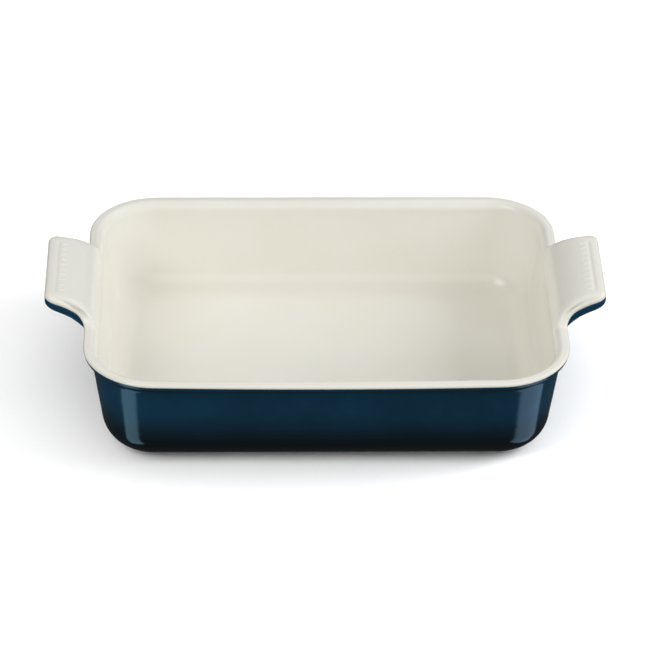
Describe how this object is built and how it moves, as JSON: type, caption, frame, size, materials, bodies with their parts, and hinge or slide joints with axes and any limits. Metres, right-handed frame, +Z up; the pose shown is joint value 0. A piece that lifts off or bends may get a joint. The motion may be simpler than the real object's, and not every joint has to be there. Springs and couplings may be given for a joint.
{
  "type": "baking dish",
  "caption": "Rectangular glazed stoneware baking dish with rounded corners, a thick lip, leaning walls, a foot ring and a broad upswept handle at each short end.",
  "frame": {"origin": "centre of the dish's footprint, on the plane that the foot ring stands on", "axes": "+X along the dish towards the right handle, +Y across it, +Z up out of the cavity"},
  "size_m": [0.3694, 0.232, 0.0915],
  "materials": {
    "stoneware": "fired clay, unglazed, matte",
    "cream_glaze": "cream glaze, fired glossy",
    "teal_glaze": "deep blue-green glaze, fired glossy, darker where it pools"
  },
  "bodies": {
    "root": {"stoneware_basin": "stoneware", "left_handle": "stoneware", "right_handle": "stoneware", "foot_ring": "stoneware", "cream_glaze": "cream_glaze", "teal_glaze": "teal_glaze", "base_glaze": "teal_glaze"}
  },
  "joints": []
}
